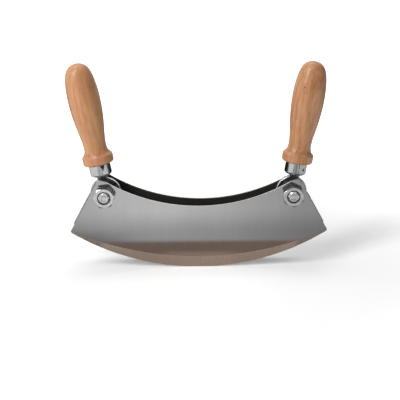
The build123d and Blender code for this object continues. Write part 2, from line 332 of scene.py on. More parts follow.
# Steel: strength and depth of the lines' relief, depth of the lumps, how far the ends' painted tone reaches,
# and the share of the painted highlight's reach where it is full
LINE_RELIEF, LUMP_DEPTH = (0.02, 0.00002), 0.0004
ENDS_REACH, HIGHLIGHT_CORE = 1.1, 0.45

# Wood: noise scales across and along it, and by how many rings the first two move the growth lines
RING_BEND, RING_WAVER = (38, 38, 9), (150, 150, 14)
WOOD_GRAIN, WOOD_FLECKS = (1300, 1300, 90), (1500, 2600, 210)
WOOD_CLOUDS, WOOD_FIBRES = (95, 95, 24), (560, 560, 46)
BEND_RINGS, WAVER_RINGS = 2.6, 0.6

# Wood: width of a growth ring, and where in it late wood darkens and ends
RING_WIDTH = 0.0042
LATE_RISE, LATE_POWER, LATE_FALL = (0.0, 0.85), 3.0, (0.88, 1.0, 1.0, 0.0)

# Wood: where in the noise clouds, fibres, grain and flecks lie, and how dark grain and flecks are
CLOUD_SPAN, FIBRE_SPAN, GRAIN_SPAN, FLECK_SPAN = (0.35, 0.65), (0.46, 0.66), (0.45, 0.75), (0.64, 0.72)
GRAIN_REACH, FLECK_REACH, KNOT_REACH = 0.3, 0.5, 0.85

# Wood: relief of the grain against the flecks, strength and depth of that relief, and bounds of the roughness
GRAIN_RELIEF, PORE_RELIEF, WOOD_ROUGH = 0.4, (0.08, 0.0001), (0.42, 0.52)

# Wood: how far the painted shade and dirt reach under and over the crease, and over the collar's start
DIRT_AND_SHADE_UNDER, DIRT_AND_SHADE_OVER, DIRT_AND_SHADE_FOOT = 0.0012, 0.0025, (0.0006, 0.0018)

# Each grip's figure: how far it is turned, and how dark late wood and fibres are
FIGURES = {"left": (0.5, 0.2, 0.26), "right": (1.2, 0.34, 0.5)}
KNOT = (0.05, 0.03, 0.02)

# Edges that turn by more than this stay sharp; rims are rounded where they turn by more than the last
BLADE_CREASE, GRIND_CREASE = math.radians(60), math.radians(4)
FASTENER_CREASE, PLATE_CREASE = math.radians(20), math.radians(40)
FERRULE_CREASE, GRIP_CREASE = math.radians(50), math.radians(24)
RIM_TURN = 1.0

# How far normals point along Y on a flat side, a nearly flat one and a rim; a hexagon's corner along its axis
FLAT_SIDE, NEARLY_FLAT, RIM_SIDE, CORNER_SIDE = 0.9999, 0.9, 0.1, 0.99

# Nuts and bolts: slope of the cones, their share of the height, and shares of a thread and of the dimple
CONE_SLOPE, CONE_SHARE = math.tan(math.pi / 6), 1 / 8
THREAD_SHARE, DIMPLE_SHARE = 0.92, 0.8

# The ferrules' dents: slant, soft side and steep side of the notch, and how far the dot's rim is drawn in
NOTCH_SLANT, NOTCH_SOFT, NOTCH_STEEP, DOT_SOFT = 0.2, 0.4, 0.12, 1.5

# Steps along a rounded corner, round an eye's hole, for each radian of its rim, and of a search by halves
CORNER_STEPS, HOLE_STEPS, EYE_STEPS, HALVINGS = 8, 64, 24, 30

# Shares of an eye's radius: from where to where its outer side turns to painted light, and what its rim lies
# outside of
EYE_FADE, EYE_RIM = (-0.7, -0.4), 0.9

# The lamps: place, what they point at, and width and height
KEY_LAMP = ((-1.0, -1.0, 1.15), (0, 0, 0.09), (0.55, 1.5))
TOP_LAMP = ((-0.2, 0.5, 1.7), (0, 0, 0.05), (1.6, 1.0))

# The cards: place of the middle, turn about an axis, and width and height; two lie just over the floor
CARD_BASE = CAD_BOX[0][2] + 0.0002
CARDS = {
    "front_card": ((0, -0.32, CARD_BASE), 0, "X", (0.38, 0.62)),
    "rear_card": ((0, 0.9, CARD_BASE), 0, "X", (2.4, 1.6)),
    "upper_card": ((0, -1.5, 0.98), math.pi / 2, "X", (4.0, 1.94)),
    "side_card": ((0.9, 0.1, 0.5), math.pi / 2, "Y", (0.9, 1.8)),
}

# The front card's tones, which paint the reflections in the blades, from where to where and from what to
# what:
# brighter away from the chopper, darker to both sides, dimmed at the left near its dark part, and the end and
# the colour of the dark part
CARD_AHEAD, CARD_RIGHT = (0.10, 0.19, 0.56, 0.92), (-0.04, 0.17, 1.0, 0.48)
CARD_LEFT, DIM_AHEAD, DIM_SIDE = (-0.15, -0.05, 0.8, 1.0), (0.081, 0.126, 0.6, 0.0), (-0.14, -0.03, 1.0, 0.0)
# Painted reflection: the dark brownish part of the front card, seen low on the blades
DARK_REFLECTION_EDGE, DARK_REFLECTION_TONE = (0.075, 0.087), (0.265, 0.19, 0.155)

# The other cards' tones, painted reflections too; the rear card darkens away from the chopper
REAR_FADE, UPPER_TONE, SIDE_TONE = (0.12, 0.27, 1.0, 0.12), 0.12, 0.3

# From where to where the floor's own shade turns plain white, from the middle
FLOOR_FADE = (0.16, 0.5)


def lean_of(grips, hand):
    """How far a handle's axis is turned about Y."""
    return -grips.left_lean if hand == "left" else grips.right_lean


class Recipe:
    """A material or world, with short calls that add shader nodes and join them."""

    def __init__(self, name, store="materials", surface="Principled BSDF"):
        self.owner = getattr(bpy.data, store).new(name)
        self.owner.use_nodes = True
        self.tree = self.owner.node_tree
        self.surface = self.tree.nodes[surface]

    def feed(self, socket, value):
        if isinstance(value, bpy.types.NodeSocket):
            self.tree.links.new(value, socket)
        elif socket.type == "RGBA" and len(value) == 3:
            socket.default_value = (*value, 1.0)
        else:
            socket.default_value = value

    def add(self, kind, sockets, **settings):
        node = self.tree.nodes.new("ShaderNode" + kind)
        for name, value in settings.items():
            setattr(node, name, value)
        for name, value in sockets.items():
            self.feed(node.inputs[name], value)
        return node

    def place(self, pivot=(0, 0, 0), turned=(0, 0, 0)):
        """Object coordinates, measured from a pivot and turned with the piece."""
        here = self.add("TexCoord", {}).outputs["Object"]
        sockets = {"Vector": here, "Location": pivot, "Rotation": turned}
        return self.add("Mapping", sockets, vector_type="TEXTURE").outputs["Vector"]

    def on_handle(self, grips, hand):
        """Coordinates in a handle's own frame."""
        return self.place(PIVOTS[hand], (0, lean_of(grips, hand), 0))

    def parts(self, vector):
        return self.add("SeparateXYZ", {"Vector": vector}).outputs

    def stretch(self, vector, scale):
        return self.add("Mapping", {"Vector": vector, "Scale": scale}).outputs["Vector"]

    def noise(self, vector, scale=1.0, detail=2.0, rough=0.5, distortion=0.0):
        sockets = {"Vector": vector, "Scale": scale, "Detail": detail, "Roughness": rough}
        return self.add("TexNoise", {**sockets, "Distortion": distortion}).outputs["Fac"]

    def math(self, operation, first, second=0.0):
        return self.add("Math", {0: first, 1: second}, operation=operation).outputs["Value"]

    def times(self, value, *others):
        for other in others:
            value = self.math("MULTIPLY", value, other)
        return value

    def scaled(self, shade, tone):
        return self.add("VectorMath", {0: shade, 3: tone}, operation="SCALE").outputs["Vector"]

    def span(self, value, low, high, new_low=0.0, new_high=1.0):
        sockets = {"Value": value, "From Min": low, "From Max": high, "To Min": new_low, "To Max": new_high}
        return self.add("MapRange", sockets, interpolation_type="SMOOTHSTEP").outputs["Result"]

    def level(self, noise, low, high):
        """Spreads the middle part of a noise from low to high."""
        return self.span(noise, 0.3, 0.7, low, high)

    def seen(self):
        """One for rays from the camera, from gloss and through glass, and nothing for others."""
        rays = self.add("LightPath", {}).outputs
        seen = self.math("MAXIMUM", rays["Is Camera Ray"], rays["Is Glossy Ray"])
        return self.math("MAXIMUM", seen, rays["Is Transmission Ray"])

    def mix(self, factor, first, second, blend="MIX"):
        node = self.add("Mix", {0: factor, 6: first, 7: second}, data_type="RGBA", blend_type=blend)
        return node.outputs[2]

    def bump(self, height, strength, distance):
        sockets = {"Height": height, "Strength": strength, "Distance": distance}
        self.feed(self.surface.inputs["Normal"], self.add("Bump", sockets).outputs["Normal"])

    def finish(self, **sockets):
        """Sets the surface's own sockets, by name with underscores for spaces."""
        for name, value in sockets.items():
            self.feed(self.surface.inputs[name.replace("_", " ")], value)
        return self.owner

    def glow(self, shade, strength=1.0):
        """Finishes a card that shines without being lit."""
        dark = {"Base_Color": (0, 0, 0), "Specular_IOR_Level": 0.0}
        return self.finish(**dark, Emission_Color=shade, Emission_Strength=strength)


def painted_highlight_over_grind(blades, extra):
    """A painted highlight for the middle of the blade, in a band just over the grind."""

    def tone(recipe, outwards, height):
        start = recipe.span(height, blades.highlight_low, blades.highlight_high, extra, 0.0)
        middle = recipe.span(outwards, blades.highlight_reach * HIGHLIGHT_CORE, blades.highlight_reach, 1.0, 0.0)
        return recipe.math("ADD", 1.0, recipe.times(start, middle))

    return tone


def satin_steel(name, shade, roughness, lines=0.01, metal=1.0, right_tone=1.0, ends_tone=1.0, soft=None):
    """Satin steel with grinding lines down the blade, painted light and shade for its right half and both
    ends, and a painted highlight where one is given.
    """
    steel = Recipe(name)
    here = steel.place()
    fine = steel.noise(steel.stretch(here, FINE_LINES), detail=3.0, rough=0.6)
    broad = steel.noise(steel.stretch(here, BROAD_LINES))
    cloud = steel.noise(here, scale=STEEL_CLOUDS)
    lined = steel.math("ADD", steel.level(fine, -lines, lines), steel.level(broad, -lines, lines))
    sideways, _, height = steel.parts(here)
    outwards = steel.math("ABSOLUTE", sideways)
    bolt_x = PIVOTS["right"].x
    tone = steel.times(
        steel.math("ADD", lined, steel.level(cloud, *CLOUD_TONES)),
        steel.span(sideways, -bolt_x, bolt_x, 1.0, right_tone),
        steel.span(outwards, bolt_x, bolt_x * ENDS_REACH, 1.0, ends_tone),
    )
    # A painted highlight over the grind, where one is given
    if soft:
        tone = steel.times(tone, soft(steel, outwards, height))
    rough = steel.level(fine, roughness - FINE_ROUGH, roughness + FINE_ROUGH)
    rough = steel.math("ADD", steel.level(broad, -BROAD_ROUGH, BROAD_ROUGH), rough)
    steel.bump(fine, *LINE_RELIEF)
    return steel.finish(Base_Color=steel.scaled(shade, tone), Metallic=metal, Roughness=rough)


def inward_painted_shade(grips, hand, start, end, before, after):
    """Painted light and shade for a handle's piece: a tone that changes between two distances from its axis
    towards the other handle.
    """

    def tone(recipe):
        across = recipe.parts(recipe.on_handle(grips, hand))[0]
        return recipe.span(recipe.times(across, 1.0 if hand == "left" else -1.0), start, end, before, after)

    return tone


def plated_steel(name, shade, roughness, lump, fade=None):
    """Bright plating over slightly uneven steel, with a fade if one is given."""
    plating = Recipe(name)
    here = plating.place()
    cloud = plating.noise(here, scale=PLATING_LUMPS, detail=3.0, rough=0.55, distortion=0.4)
    grain = plating.noise(here, scale=PLATING_GRAIN)
    tone = plating.math("ADD", plating.level(cloud, *LUMP_TONES), plating.level(grain, *GRAIN_TONES))
    if fade:
        tone = plating.times(tone, fade(plating))
    rough = plating.span(cloud, 0.3, 0.75, *(roughness + change for change in LUMP_ROUGH))
    plating.bump(cloud, lump, LUMP_DEPTH)
    return plating.finish(Base_Color=plating.scaled(shade, tone), Metallic=1.0, Roughness=rough)


def turned_beech(name, grips, hand):
    """Varnished beech with growth lines, fine grain and short flecks along the handle, and painted shade and
    dirt in its creases.
    """
    wood = Recipe(name)
    turned, late_reach, fibre_reach = FIGURES[hand]
    here = wood.on_handle(grips, hand)
    spun = wood.add("Mapping", {"Vector": here, "Rotation": (0, 0, turned)}).outputs["Vector"]

    def noise(scale, **more):
        return wood.noise(wood.stretch(spun, scale), **more)

    across, _, up = wood.parts(spun)
    ring = wood.math("ADD", wood.times(across, 1 / RING_WIDTH), wood.times(noise(RING_BEND), BEND_RINGS))
    ring = wood.math("ADD", ring, wood.times(noise(RING_WAVER, detail=3.0), WAVER_RINGS))
    ring = wood.math("FRACT", ring)
    late = wood.math("POWER", wood.span(ring, *LATE_RISE), LATE_POWER)
    late = wood.times(late, wood.span(ring, *LATE_FALL))
    grain = noise(WOOD_GRAIN, detail=4.0, rough=0.6)
    fleck = noise(WOOD_FLECKS, detail=1.0)
    fibre = noise(WOOD_FIBRES, detail=3.0, rough=0.6)
    # Painted shade and dirt in the crease over the collar and at the collar's foot
    crease, collar = grips.crease_height, grips.collar_start
    under = wood.span(up, crease - DIRT_AND_SHADE_UNDER, crease)
    over = wood.span(up, crease, crease + DIRT_AND_SHADE_OVER, 1.0, 0.0)
    foot = wood.span(up, *(collar + reach for reach in DIRT_AND_SHADE_FOOT), 1.0, 0.0)
    crease_dirt_and_shade = wood.math("MAXIMUM", wood.times(under, over), foot)
    shade = wood.mix(wood.span(noise(WOOD_CLOUDS), *CLOUD_SPAN), grips.pale, grips.warm)
    shade = wood.scaled(shade, 1.0 if hand == "left" else grips.right_tone)
    for darkness in (
        wood.times(late, late_reach),
        wood.span(fibre, *FIBRE_SPAN, 0.0, fibre_reach),
        wood.span(grain, *GRAIN_SPAN, 0.0, GRAIN_REACH),
        wood.span(fleck, *FLECK_SPAN, 0.0, FLECK_REACH),
        wood.times(crease_dirt_and_shade, grips.crease_dirt_and_shade),
    ):
        shade = wood.mix(darkness, shade, grips.dark)
    if hand == "right":
        away = wood.add("VectorMath", {0: here, 1: grips.knot}, operation="DISTANCE").outputs["Value"]
        knot = wood.span(away, grips.knot_size / 2, grips.knot_size, KNOT_REACH, 0.0)
        shade = wood.mix(knot, shade, KNOT)
    pores = wood.math("SUBTRACT", wood.times(grain, GRAIN_RELIEF), wood.span(fleck, *FLECK_SPAN))
    wood.bump(pores, *PORE_RELIEF)
    varnish = {"Specular_IOR_Level": 0.4, "Coat_Weight": grips.gloss, "Coat_Roughness": 0.25}
    return wood.finish(Base_Color=shade, Roughness=wood.level(grain, *WOOD_ROUGH), **varnish)


def add_object(name, data):
    """Adds an object to the scene."""
    made = bpy.data.objects.new(name, data)
    bpy.context.scene.collection.objects.link(made)
    return made


def add_mesh(bm, place, name, *materials):
    """Puts a finished bmesh in its place and makes it an object."""
    bmesh.ops.transform(bm, matrix=place, verts=bm.verts)
    bmesh.ops.recalc_face_normals(bm, faces=bm.faces)
    mesh = bpy.data.meshes.new(name)
    bm.to_mesh(mesh)
    bm.free()
    for material in materials:
        mesh.materials.append(material)
    return add_object(name, mesh)


def make_piece(bm, place, name, body, slot, node, *materials):
    """Makes a finished bmesh the piece that stands for one node of the frame."""
    piece = add_mesh(bm, place, name, *materials)
    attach(piece, body)
    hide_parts(node)


def smooth_all(bm, sharp_angle):
    """Shades every face smoothly and keeps the edges that turn by more than an angle sharp."""
    for face in bm.faces:
        face.smooth = True
    bm.normal_update()
    for edge in bm.edges:
        edge.smooth = not edge.is_manifold or edge.calc_face_angle() < sharp_angle


def shade_plate(bm, sharp_angle):
    """Shades the flat sides of an upright plate flat and its rim smoothly."""
    smooth_all(bm, sharp_angle)
    for face in bm.faces:
        face.smooth = abs(face.normal.y) < FLAT_SIDE


def only(kind, geometry):
    """The elements of one kind in an operator's answer."""
    return [item for item in geometry if isinstance(item, kind)]


def round_edges(bm, edges, radius):
    """Rounds edges and gives back the new faces."""
    shape = {"affect": "EDGES", "segments": 3, "profile": 0.5, "material": -1, "clamp_overlap": True}
    return bmesh.ops.bevel(bm, geom=edges, offset=radius, **shape)["faces"]


def thicken(bm, y):
    """Makes a plate of an upright flat shape, with its other side at a depth, and gives back that side."""
    bmesh.ops.recalc_face_normals(bm, faces=bm.faces)
    made = bmesh.ops.extrude_face_region(bm, geom=bm.faces[:])["geom"]
    for vert in only(bmesh.types.BMVert, made):
        vert.co.y = y
    return only(bmesh.types.BMFace, made)


def sweep(bm, vert, centre, axis, turned, steps):
    """Draws an arc from a vertex and gives back its last vertex."""
    made = bmesh.ops.spin(bm, geom=[vert], cent=centre, axis=axis, angle=turned, steps=steps)
    return only(bmesh.types.BMVert, made["geom_last"])[0]


def extrude_chain(bm, edges):
    """Extrudes a chain of edges and gives back the new vertices and the new chain."""
    made = bmesh.ops.extrude_edge_only(bm, edges=edges)["geom"]
    verts = only(bmesh.types.BMVert, made)
    fresh = set(verts)
    return verts, [edge for edge in only(bmesh.types.BMEdge, made) if fresh.issuperset(edge.verts)]


def rounded(corners, radii, steps):
    """Points along straight runs between corners, each inner corner rounded by its radius."""
    path = [corners[0]]
    for before, corner, after, radius in zip(corners, corners[1:], corners[2:], radii):
        into = (before - corner).normalized()
        out = (after - corner).normalized()
        opening = into.angle(out)
        reach = radius / math.tan(opening / 2)
        handle = 4 / 3 * math.tan((math.pi - opening) / 4) * radius
        start, end = corner + into * reach, corner + out * reach
        path += interpolate_bezier(start, start - into * handle, end - out * handle, end, steps)
    return path + [corners[-1]]


def flat(radius, height):
    """A point of a turning outline, in the plane of the axis."""
    return Vector((radius, 0, height))


def profile(*points):
    """A turning outline from pairs of radius and height."""
    return [flat(radius, height) for radius, height in points]


def turn(outline, steps, closed=False):
    """Turns an outline once round the upright axis and gives back the new bmesh."""
    bm = bmesh.new()
    verts = [bm.verts.new(point) for point in outline]
    pairs = list(zip(verts, verts[1:])) + ([(verts[-1], verts[0])] if closed else [])
    edges = [bm.edges.new(pair) for pair in pairs]
    circle = {"cent": (0, 0, 0), "axis": (0, 0, 1), "angle": FULL_TURN}
    bmesh.ops.spin(bm, geom=verts + edges, **circle, steps=steps, use_merge=True)
    bmesh.ops.remove_doubles(bm, verts=bm.verts, dist=MERGE)
    return bm


def handle_place(grips, hand):
    """Where a handle's own frame lies: its axis rises from the bolt and leans outwards."""
    return Matrix.Translation(PIVOTS[hand]) @ Matrix.Rotation(lean_of(grips, hand), 4, "Y")


def pierce(bm, face, centre, radius, segments, *corners):
    """Cuts a round hole through a flat upright face, joined to the given corners of the face."""
    place = Matrix.Translation(centre) @ TO_FRONT
    hole = bmesh.ops.create_circle(bm, segments=segments, radius=radius, matrix=place)["verts"]
    rim = set(hole)
    net = [edge for edge in bm.edges if rim.issuperset(edge.verts)]
    for corner in corners:
        nearest = min(hole, key=lambda vert: (vert.co - corner.co).length)
        net.append(bm.edges.new((nearest, corner)))
    parts = bmesh.utils.face_split_edgenet(face, net)
    disc = [part for part in parts if rim.issuperset(part.verts)]
    bmesh.ops.delete(bm, geom=disc, context="FACES_ONLY")
    return [part for part in parts if part.is_valid]


def arc_radius(half_chord, rise):
    """Radius of an arc from half its chord and its rise."""
    return (half_chord**2 + rise**2) / (2 * rise)


def upright(x, z):
    """A point or direction in the plane of the blades."""
    return Vector((x, 0, z))


def run_to_circle(start, way, middle, radius):
    """How far a straight line runs from a point until it first meets a circle."""
    away = start - middle
    beside = away.dot(way)
    return -beside - math.sqrt(beside**2 - away.length_squared + radius**2)


def hollow_arc(blades, hollow_x):
    """Middle and radius of the hollow back."""
    half, rise = PIVOTS["right"].x - blades.foot_in, blades.hollow_drop + blades.foot_up
    radius = arc_radius(half, rise)
    return upright(hollow_x, PIVOT_HEIGHT - blades.hollow_drop + radius), radius


def ear_arc(blades, hollow_x):
    """The right ear's outer corner, the middle of its top arc, and its foot on the hollow back."""
    corner = PIVOTS["right"] + upright(blades.ear_out, blades.ear_up)
    hollow, radius = hollow_arc(blades, hollow_x)
    beside = PIVOTS["right"].x - blades.foot_in - hollow_x
    foot = hollow + upright(beside, -math.sqrt(radius**2 - beside**2))
    outward = (foot - hollow).normalized()
    reach = corner - foot
    return corner, foot + outward * reach.length_squared / (2 * reach.dot(outward)), foot


def grind_rows(blades, foot, way):
    """From a point of the edge along a way: where the bevels cross, how thick, and where the grind ends."""
    half = blades.length / 2
    edge = arc_radius(half, blades.edge_rise)
    grind = arc_radius(half, blades.edge_rise + blades.grind_tip_width - blades.grind_width)
    grind_middle = upright(0, blades.grind_width + grind)
    cut = blades.thickness - blades.edge_land
    top = run_to_circle(foot, way, grind_middle, grind)

    def bevels(rise):
        point = foot + way * rise
        second = blades.edge_land + (edge - (point - upright(0, edge)).length) * cut / blades.bevel_width
        ground = blades.thickness - ((point - grind_middle).length - grind) * cut / blades.grind_width
        return second, ground

    low, high = 0.0, top
    for _ in range(HALVINGS):
        half_way = (low + high) / 2
        second, ground = bevels(half_way)
        low, high = (half_way, high) if second < ground else (low, half_way)
    return low, min(bevels(low)), top


def round_corner(bm, middle, radius, start, end, reach, steps):
    """Rounds an outward corner of an upright plate about a middle, from one outward direction to another."""
    inset = radius * math.cos(start.angle(end) / steps / 2)
    for step in range(steps):
        outward = start.slerp(end, (step + 0.5) / steps)
        near = [vert for vert in bm.verts if vert.co.x * math.copysign(1, middle.x) > reach]
        within = set(near)
        near += [edge for edge in bm.edges if within.issuperset(edge.verts)]
        near += [face for face in bm.faces if within.issuperset(face.verts)]
        plane = {"plane_co": middle + outward * inset, "plane_no": outward}
        made = bmesh.ops.bisect_plane(bm, geom=near, dist=MERGE, **plane, clear_outer=True)
        bmesh.ops.contextual_create(bm, geom=only(bmesh.types.BMEdge, made["geom_cut"]))


def shape_blade(bm, blades, bolt_radius, hollow_x):
    """A front blade: ground face, flat face with its bolt holes, rim and inner face."""
    inner = blades.gap / 2
    outer = inner + blades.thickness
    half = blades.length / 2
    bolt_x = PIVOTS["right"].x
    edge_radius = arc_radius(half, blades.edge_rise)
    edge_middle = upright(0, edge_radius)
    hollow, _ = hollow_arc(blades, hollow_x)
    steps = blades.steps

    def from_left(verts):
        return sorted(verts, key=lambda vert: vert.co.x)

    # The ears and the straight ends, worked out for the right; the left is their mirror image
    ears, ways = {}, {}
    for side in (1, -1):
        ears[side] = [upright(point.x * side, point.z) for point in ear_arc(blades, hollow_x * side)]
        ways[side] = (ears[side][0] - upright(half * side, blades.edge_rise)).normalized()

    # The cutting edge from the left tip to the right one, and two rows of faces up from it
    first = bm.verts.new((-half, 0, blades.edge_rise))
    sweep(bm, first, edge_middle, (0, -1, 0), 2 * math.asin(half / edge_radius), 2 * steps)
    feet = from_left(bm.verts)
    ends = {feet[0]: -1, feet[-1]: 1}
    rises = {}
    for vert in feet:
        way = ways[ends[vert]] if vert in ends else (edge_middle - vert.co).normalized()
        rises[vert] = (way, *grind_rows(blades, vert.co, way))
    crossing, chain = extrude_chain(bm, bm.edges[:])
    ground, chain = extrude_chain(bm, chain)
    ground = from_left(ground)
    for row, reach in ((from_left(crossing), 1), (ground, 3)):
        for foot, vert in zip(feet, row):
            way, thick = rises[foot][0], rises[foot][2] if reach == 1 else blades.thickness
            vert.co = foot.co + way * rises[foot][reach]
            vert.co.y = -inner - thick
    for vert in feet:
        vert.co.y = -inner - blades.edge_land
    ground_faces = bm.faces[:]

    # The rest of the outline: right end and ear, hollow, left ear and end
    lift = Vector((0, -outer, 0))
    right_corner, right_middle, right_foot = ears[1]
    left_corner, left_middle, left_foot = ears[-1]
    pen = bm.verts.new(right_corner + lift)
    bm.edges.new((ground[-1], pen))
    for centre, axis, start, end, pieces in (
        (right_middle, (0, -1, 0), right_corner, right_foot, steps // 4),
        (hollow, (0, 1, 0), right_foot, left_foot, steps * 4 // 3),
        (left_middle, (0, -1, 0), left_foot, left_corner, steps // 4),
    ):
        pen = sweep(bm, pen, centre, axis, (start - centre).angle(end - centre), pieces)
    bm.edges.new((ground[0], pen))

    # The flat face with its bolt holes, each joined to the outline over and under the bolt
    flat_side = {vert for vert in bm.verts if abs(vert.co.y + outer) < MERGE}
    outline = [edge for edge in bm.edges if not edge.is_manifold and flat_side.issuperset(edge.verts)]
    tops = [vert for vert in bm.verts if vert.co.z > PIVOT_HEIGHT]
    parts = bmesh.ops.contextual_create(bm, geom=outline)["faces"]
    for side in (1, -1):
        bolt = Vector((bolt_x * side, -outer, PIVOT_HEIGHT))
        over = min(tops, key=lambda vert: abs(vert.co.x - bolt.x))
        under = min(ground, key=lambda vert: abs(vert.co.x - bolt.x))
        face = min(parts, key=lambda part: part.calc_center_bounds().x)
        parts = pierce(bm, face, bolt, bolt_radius + blades.hole_clearance, steps // 2, over, under)
    for face in bm.faces:
        face.material_index = 0
    for face in ground_faces:
        face.material_index = 1

    # The thickness, with its inner side in the painted shade between the blades, and polished steel along the
    # rim
    for face in thicken(bm, -inner):
        face.material_index = 3

    # Tips and ear corners, rounded
    for side in (1, -1):
        corner, middle, _ = ears[side]
        tip = upright(half * side, blades.edge_rise)
        way = ways[side]
        inward = upright(-way.z * side, way.x * side)
        for start, ahead, centre, arc, radius in (
            (tip, way, edge_middle, edge_radius, blades.tip_round),
            (corner, -way, middle, (corner - middle).length, blades.ear_round),
        ):
            line = start + inward * radius
            rounding = line + ahead * run_to_circle(line, ahead, centre, arc - radius)
            outward = (rounding - centre).normalized()
            round_corner(bm, rounding, radius, -inward, outward, bolt_x - bolt_radius, CORNER_STEPS)
    bmesh.ops.recalc_face_normals(bm, faces=bm.faces)
    for face in bm.faces:
        if abs(face.normal.y) < RIM_SIDE:
            face.material_index = 2

    # The rim, rounded along back, ears and ends
    def on_rim(edge):
        if not edge.is_manifold or edge.calc_face_angle() < RIM_TURN:
            return False
        for vert in edge.verts:
            point = upright(vert.co.x, vert.co.z)
            bolt = upright(math.copysign(bolt_x, point.x), PIVOT_HEIGHT)
            near_bolt = (point - bolt).length < 2 * bolt_radius
            if near_bolt or (point - edge_middle).length > edge_radius - blades.bevel_width:
                return False
        return True

    for face in round_edges(bm, [edge for edge in bm.edges if on_rim(edge)], blades.rim_round):
        face.material_index = 2
    shade_plate(bm, BLADE_CREASE)
    for edge in bm.edges:
        on_grind = all(face.material_index == 1 for face in edge.link_faces)
        if on_grind and edge.calc_face_angle() > GRIND_CREASE:
            edge.smooth = False


class MEZZALUNA_OT_blades(bpy.types.Operator):
    """Build the front and the rear blade"""

    bl_idname = "mezzaluna.blades"
    bl_label = "Blades"

    def execute(self, context):
        blades = context.scene.mezzaluna_blades
        bolt_radius = context.scene.mezzaluna_fasteners.bolt_radius
        dull, ends = 4 * blades.roughness, blades.gap_shade_ends
        # Painted highlights over the grind, a weaker one on the ground face
        over, on = painted_highlight_over_grind(blades, blades.highlight_gain), painted_highlight_over_grind(blades, blades.highlight_gain / 4)
        on_ground = {"ends_tone": blades.ground_ends_shade, "soft": on}
        satin = satin_steel("blade_satin", blades.steel, blades.roughness, lines=0.012, soft=over)
        ground = satin_steel("blade_ground", blades.ground, blades.ground_roughness, lines=0.018, **on_ground)
        # Painted shade on the front rim's right end and on the whole rear rim
        cut = satin_steel("blade_rim", blades.cut, dull, right_tone=blades.rim_right_shade)
        rear_rim_shade = satin_steel("rear_blade_rim_shade", blades.rear_rim_shade, dull, ends_tone=ends / 3)
        # Painted shade between the blades, lighter towards the ends
        inner = satin_steel("blade_inside_shade", blades.inner, dull, metal=blades.gap_shade_metal, ends_tone=ends)
        for name, side, hollow_x, rim in (("front", 1, 0, cut), ("rear", -1, blades.rear_shift, rear_rim_shade)):
            bm = bmesh.new()
            shape_blade(bm, blades, bolt_radius, hollow_x)
            place = Matrix.Diagonal((1, side, 1, 1))
            finish = satin, ground, rim, inner
            make_piece(bm, place, f"{name}_crescent", "blade_frame", "blade_steel", f"{name}_blade", *finish)
        return {"FINISHED"}


def corner_radius(fasteners):
    """Distance of the hexagon's corners from its axis."""
    return fasteners.flats / math.sqrt(3)


def cut_hexagon(bm, fasteners, low, high, cone_high):
    """Cuts a turned blank to a hexagon between two heights, with cones at its faces, and shades it, with the
    flank steel as painted shade on all but the faces along its axis.
    """
    sector = math.pi / 3
    nearly_corner = corner_radius(fasteners) - MERGE * 10
    for vert in bm.verts:
        radius = vert.co.xy.length
        if radius < nearly_corner or not low - MERGE < vert.co.z < high + MERGE:
            continue
        off = math.atan2(vert.co.y, vert.co.x) % sector - sector / 2
        reach = fasteners.flats / 2 / math.cos(off)
        drop = max(reach - fasteners.face_radius, 0) * CONE_SLOPE
        if vert.co.z < (low + high) / 2:
            vert.co.z = low + drop
        elif cone_high:
            vert.co.z = high - drop
        vert.co.xy *= reach / radius
    bm.normal_update()

    def is_corner(edge):
        across = (edge.verts[0].co - edge.verts[1].co).normalized()
        return abs(across.z) > CORNER_SIDE and min(vert.co.xy.length for vert in edge.verts) > nearly_corner

    round_edges(bm, [edge for edge in bm.edges if is_corner(edge)], fasteners.corner_round)
    smooth_all(bm, FASTENER_CREASE)
    # Painted shade: faces along the axis take the plating, all others the darker flank steel
    for face in bm.faces:
        face.material_index = 0 if abs(face.normal.z) > math.cos(FASTENER_CREASE) else 1


def on_bolt(hand, y, turned=0.0):
    """Where a turned shape's frame lies on a bolt: its axis points to the front."""
    seat = Vector((PIVOTS[hand].x, y, PIVOT_HEIGHT))
    return Matrix.Translation(seat) @ TO_FRONT @ Matrix.Rotation(turned, 4, "Z")


class MEZZALUNA_OT_nuts(bpy.types.Operator):
    """Build the hexagon nuts on the front blade"""

    bl_idname = "mezzaluna.nuts"
    bl_label = "Nuts"

    def execute(self, context):
        fasteners = context.scene.mezzaluna_fasteners
        plating = plated_steel("nut_plating", fasteners.plating, fasteners.roughness, lump=0.004)
        # The flank steel is painted shade on flanks, chamfers and threads
        flank = plated_steel("nut_flank_shade", fasteners.flank, fasteners.roughness, lump=0.01)
        height, face, corner = fasteners.nut_height, fasteners.face_radius, corner_radius(fasteners)
        hole, mouth = fasteners.bolt_radius + fasteners.thread_clearance, fasteners.mouth_chamfer
        cone = height * CONE_SHARE
        low = (hole, mouth), (hole + mouth, 0), (face, 0), (corner, cone)
        outline = profile(*low, *((radius, height - rise) for radius, rise in reversed(low)))
        for hand, turned in (("left", fasteners.left_turn), ("right", fasteners.right_turn)):
            bm = turn(outline, fasteners.steps, closed=True)
            cut_hexagon(bm, fasteners, 0, height, True)
            names = f"{hand}_hexagon_nut", "blade_frame", "plated_steel", f"{hand}_nut"
            make_piece(bm, on_bolt(hand, BLADE_LOW.y, turned), *names, plating, flank)
        return {"FINISHED"}


